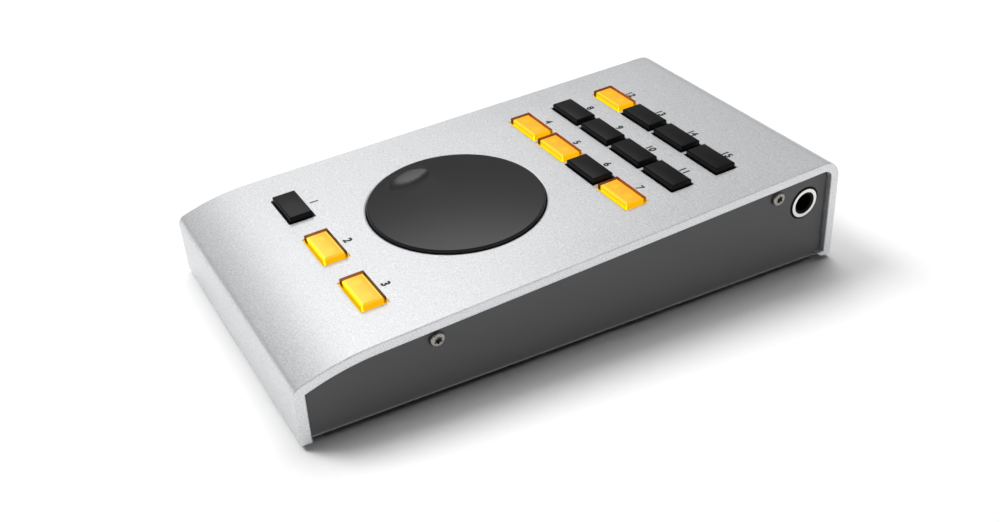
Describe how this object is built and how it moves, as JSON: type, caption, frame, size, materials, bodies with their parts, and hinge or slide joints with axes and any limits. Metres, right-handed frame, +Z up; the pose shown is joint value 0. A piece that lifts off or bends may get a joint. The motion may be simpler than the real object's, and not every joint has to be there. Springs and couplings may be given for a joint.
{
  "type": "desktop remote control",
  "caption": "Sloping desktop remote control: bent aluminium shell over a dark tray, large flush dial with finger dimple, lit push keys, side jack and cable socket.",
  "frame": {"origin": "on the surface that it stands on, under the middle of its box", "axes": "+X the user's right, +Y to the rear, +Z up"},
  "size_m": [0.1, 0.197, 0.0395],
  "materials": {
    "shell_aluminium": "bead-blasted, silver anodised",
    "tray_paint": "matt dark grey powder coat on sheet steel",
    "dial_coat": "matt dark grey coat",
    "cap_smoke": "dark smoked clear plastic, unlit",
    "cap_lit": "amber clear plastic, lit from below",
    "block_lit": "amber light block, lit",
    "block_plain": "light block, unlit, seen through smoked plastic",
    "screw_nickel": "nickel plated steel",
    "bright_metal": "bright plated metal",
    "steel": "plated steel",
    "insert_brass": "turned brass",
    "contact_metal": "gold plated contacts",
    "black_moulding": "moulded black plastic",
    "white_moulding": "moulded white plastic",
    "board": "green solder mask on glass fibre board",
    "lamp_resin": "clear lamp resin",
    "foot_rubber": "black rubber"
  },
  "bodies": {
    "case": {"top_shell": "shell_aluminium", "base_tray": "tray_paint", "main_board": "board", "board_posts": "steel", "board_screws": "steel", "switch_housings": "black_moulding", "switch_domes": "contact_metal", "key_leds": "lamp_resin", "encoder_body": "black_moulding", "encoder_bushing": "steel", "encoder_washer": "steel", "encoder_nut": "steel", "jack_body": "black_moulding", "jack_sleeve": "bright_metal", "jack_lugs": "contact_metal", "cable_socket_shell": "bright_metal", "cable_socket_insert": "white_moulding", "cable_socket_contacts": "contact_metal", "controller_chip": "black_moulding", "crystal_can": "bright_metal", "side_screws": "screw_nickel", "rubber_feet": "foot_rubber"},
    "dial": {"volume_dial": "dial_coat", "dial_insert": "insert_brass", "encoder_shaft": "steel"},
    "key_1": {"key_cap_1": "cap_smoke", "key_stem_1": "block_plain"},
    "key_2": {"key_cap_2": "cap_lit", "key_stem_2": "block_lit"},
    "key_3": {"key_cap_3": "cap_lit", "key_stem_3": "block_lit"},
    "key_4": {"key_cap_4": "cap_lit", "key_stem_4": "block_lit"},
    "key_5": {"key_cap_5": "cap_lit", "key_stem_5": "block_lit"},
    "key_6": {"key_cap_6": "cap_smoke", "key_stem_6": "block_plain"},
    "key_7": {"key_cap_7": "cap_lit", "key_stem_7": "block_lit"},
    "key_8": {"key_cap_8": "cap_smoke", "key_stem_8": "block_plain"},
    "key_9": {"key_cap_9": "cap_smoke", "key_stem_9": "block_plain"},
    "key_10": {"key_cap_10": "cap_smoke", "key_stem_10": "block_plain"},
    "key_11": {"key_cap_11": "cap_smoke", "key_stem_11": "block_plain"},
    "key_12": {"key_cap_12": "cap_lit", "key_stem_12": "block_lit"},
    "key_13": {"key_cap_13": "cap_smoke", "key_stem_13": "block_plain"},
    "key_14": {"key_cap_14": "cap_smoke", "key_stem_14": "block_plain"},
    "key_15": {"key_cap_15": "cap_smoke", "key_stem_15": "block_plain"}
  },
  "joints": [
    {"name": "dial_turn", "type": "hinge", "parent": "case", "child": "dial", "pos_m": [0, -0.02246, 0.03114], "axis": [0, -0.0767, 0.9971], "continuous": true},
    {"name": "key_1_press", "type": "slide", "parent": "case", "child": "key_1", "axis": [0, 0.0767, -0.9971], "range_m": [0, 0.0006], "stiffness_N_per_m": 2000},
    {"name": "key_2_press", "type": "slide", "parent": "case", "child": "key_2", "axis": [0, 0.0767, -0.9971], "range_m": [0, 0.0006], "stiffness_N_per_m": 2000},
    {"name": "key_3_press", "type": "slide", "parent": "case", "child": "key_3", "axis": [0, 0.0767, -0.9971], "range_m": [0, 0.0006], "stiffness_N_per_m": 2000},
    {"name": "key_4_press", "type": "slide", "parent": "case", "child": "key_4", "axis": [0, 0.0767, -0.9971], "range_m": [0, 0.0006], "stiffness_N_per_m": 2000},
    {"name": "key_5_press", "type": "slide", "parent": "case", "child": "key_5", "axis": [0, 0.0767, -0.9971], "range_m": [0, 0.0006], "stiffness_N_per_m": 2000},
    {"name": "key_6_press", "type": "slide", "parent": "case", "child": "key_6", "axis": [0, 0.0767, -0.9971], "range_m": [0, 0.0006], "stiffness_N_per_m": 2000},
    {"name": "key_7_press", "type": "slide", "parent": "case", "child": "key_7", "axis": [0, 0.0767, -0.9971], "range_m": [0, 0.0006], "stiffness_N_per_m": 2000},
    {"name": "key_8_press", "type": "slide", "parent": "case", "child": "key_8", "axis": [0, 0.0767, -0.9971], "range_m": [0, 0.0006], "stiffness_N_per_m": 2000},
    {"name": "key_9_press", "type": "slide", "parent": "case", "child": "key_9", "axis": [0, 0.0767, -0.9971], "range_m": [0, 0.0006], "stiffness_N_per_m": 2000},
    {"name": "key_10_press", "type": "slide", "parent": "case", "child": "key_10", "axis": [0, 0.0767, -0.9971], "range_m": [0, 0.0006], "stiffness_N_per_m": 2000},
    {"name": "key_11_press", "type": "slide", "parent": "case", "child": "key_11", "axis": [0, 0.0767, -0.9971], "range_m": [0, 0.0006], "stiffness_N_per_m": 2000},
    {"name": "key_12_press", "type": "slide", "parent": "case", "child": "key_12", "axis": [0, 0.0767, -0.9971], "range_m": [0, 0.0006], "stiffness_N_per_m": 2000},
    {"name": "key_13_press", "type": "slide", "parent": "case", "child": "key_13", "axis": [0, 0.0767, -0.9971], "range_m": [0, 0.0006], "stiffness_N_per_m": 2000},
    {"name": "key_14_press", "type": "slide", "parent": "case", "child": "key_14", "axis": [0, 0.0767, -0.9971], "range_m": [0, 0.0006], "stiffness_N_per_m": 2000},
    {"name": "key_15_press", "type": "slide", "parent": "case", "child": "key_15", "axis": [0, 0.0767, -0.9971], "range_m": [0, 0.0006], "stiffness_N_per_m": 2000}
  ]
}
